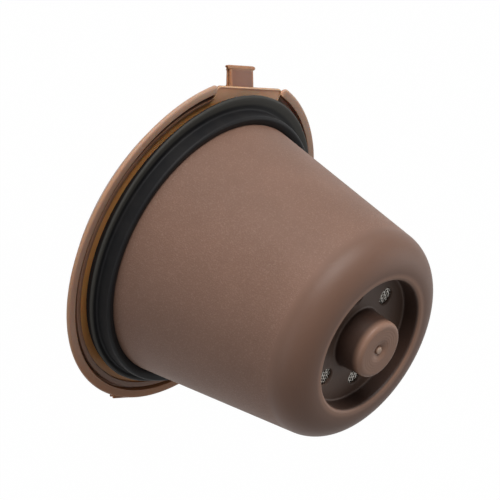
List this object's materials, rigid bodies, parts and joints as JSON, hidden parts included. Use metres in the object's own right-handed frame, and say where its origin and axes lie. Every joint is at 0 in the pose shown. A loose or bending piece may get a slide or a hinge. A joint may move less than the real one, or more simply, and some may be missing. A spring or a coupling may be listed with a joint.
{
  "type": "refillable coffee pod",
  "caption": "Refillable coffee pod: a tapering brown plastic cup with a recessed nose, a black sealing ring and a hinged lid with a steel filter mesh.",
  "frame": {"origin": "middle of the lid's outer face, which the pod stands on", "axes": "+Z along the pod's axis to its nose, +X towards the hinge, Y along the hinge axis"},
  "size_m": [0.0374, 0.037, 0.0289],
  "materials": {
    "brown_plastic": "fine matte moulding grain",
    "thin_plastic": "thin and slightly translucent",
    "black_silicone": "satin",
    "steel_mesh": "bright woven wire"
  },
  "bodies": {
    "cup": {"cup": "brown_plastic", "sealing_ring": "black_silicone", "inlet_mesh": "steel_mesh", "hinge_film": "thin_plastic"},
    "lid": {"lid": "brown_plastic", "outlet_mesh": "steel_mesh"}
  },
  "joints": [
    {"name": "lid_hinge", "type": "hinge", "parent": "cup", "child": "lid", "pos_m": [0.0188, 0, 0.00053], "axis": [0, -1, 0], "range_deg": [0, 180]}
  ]
}
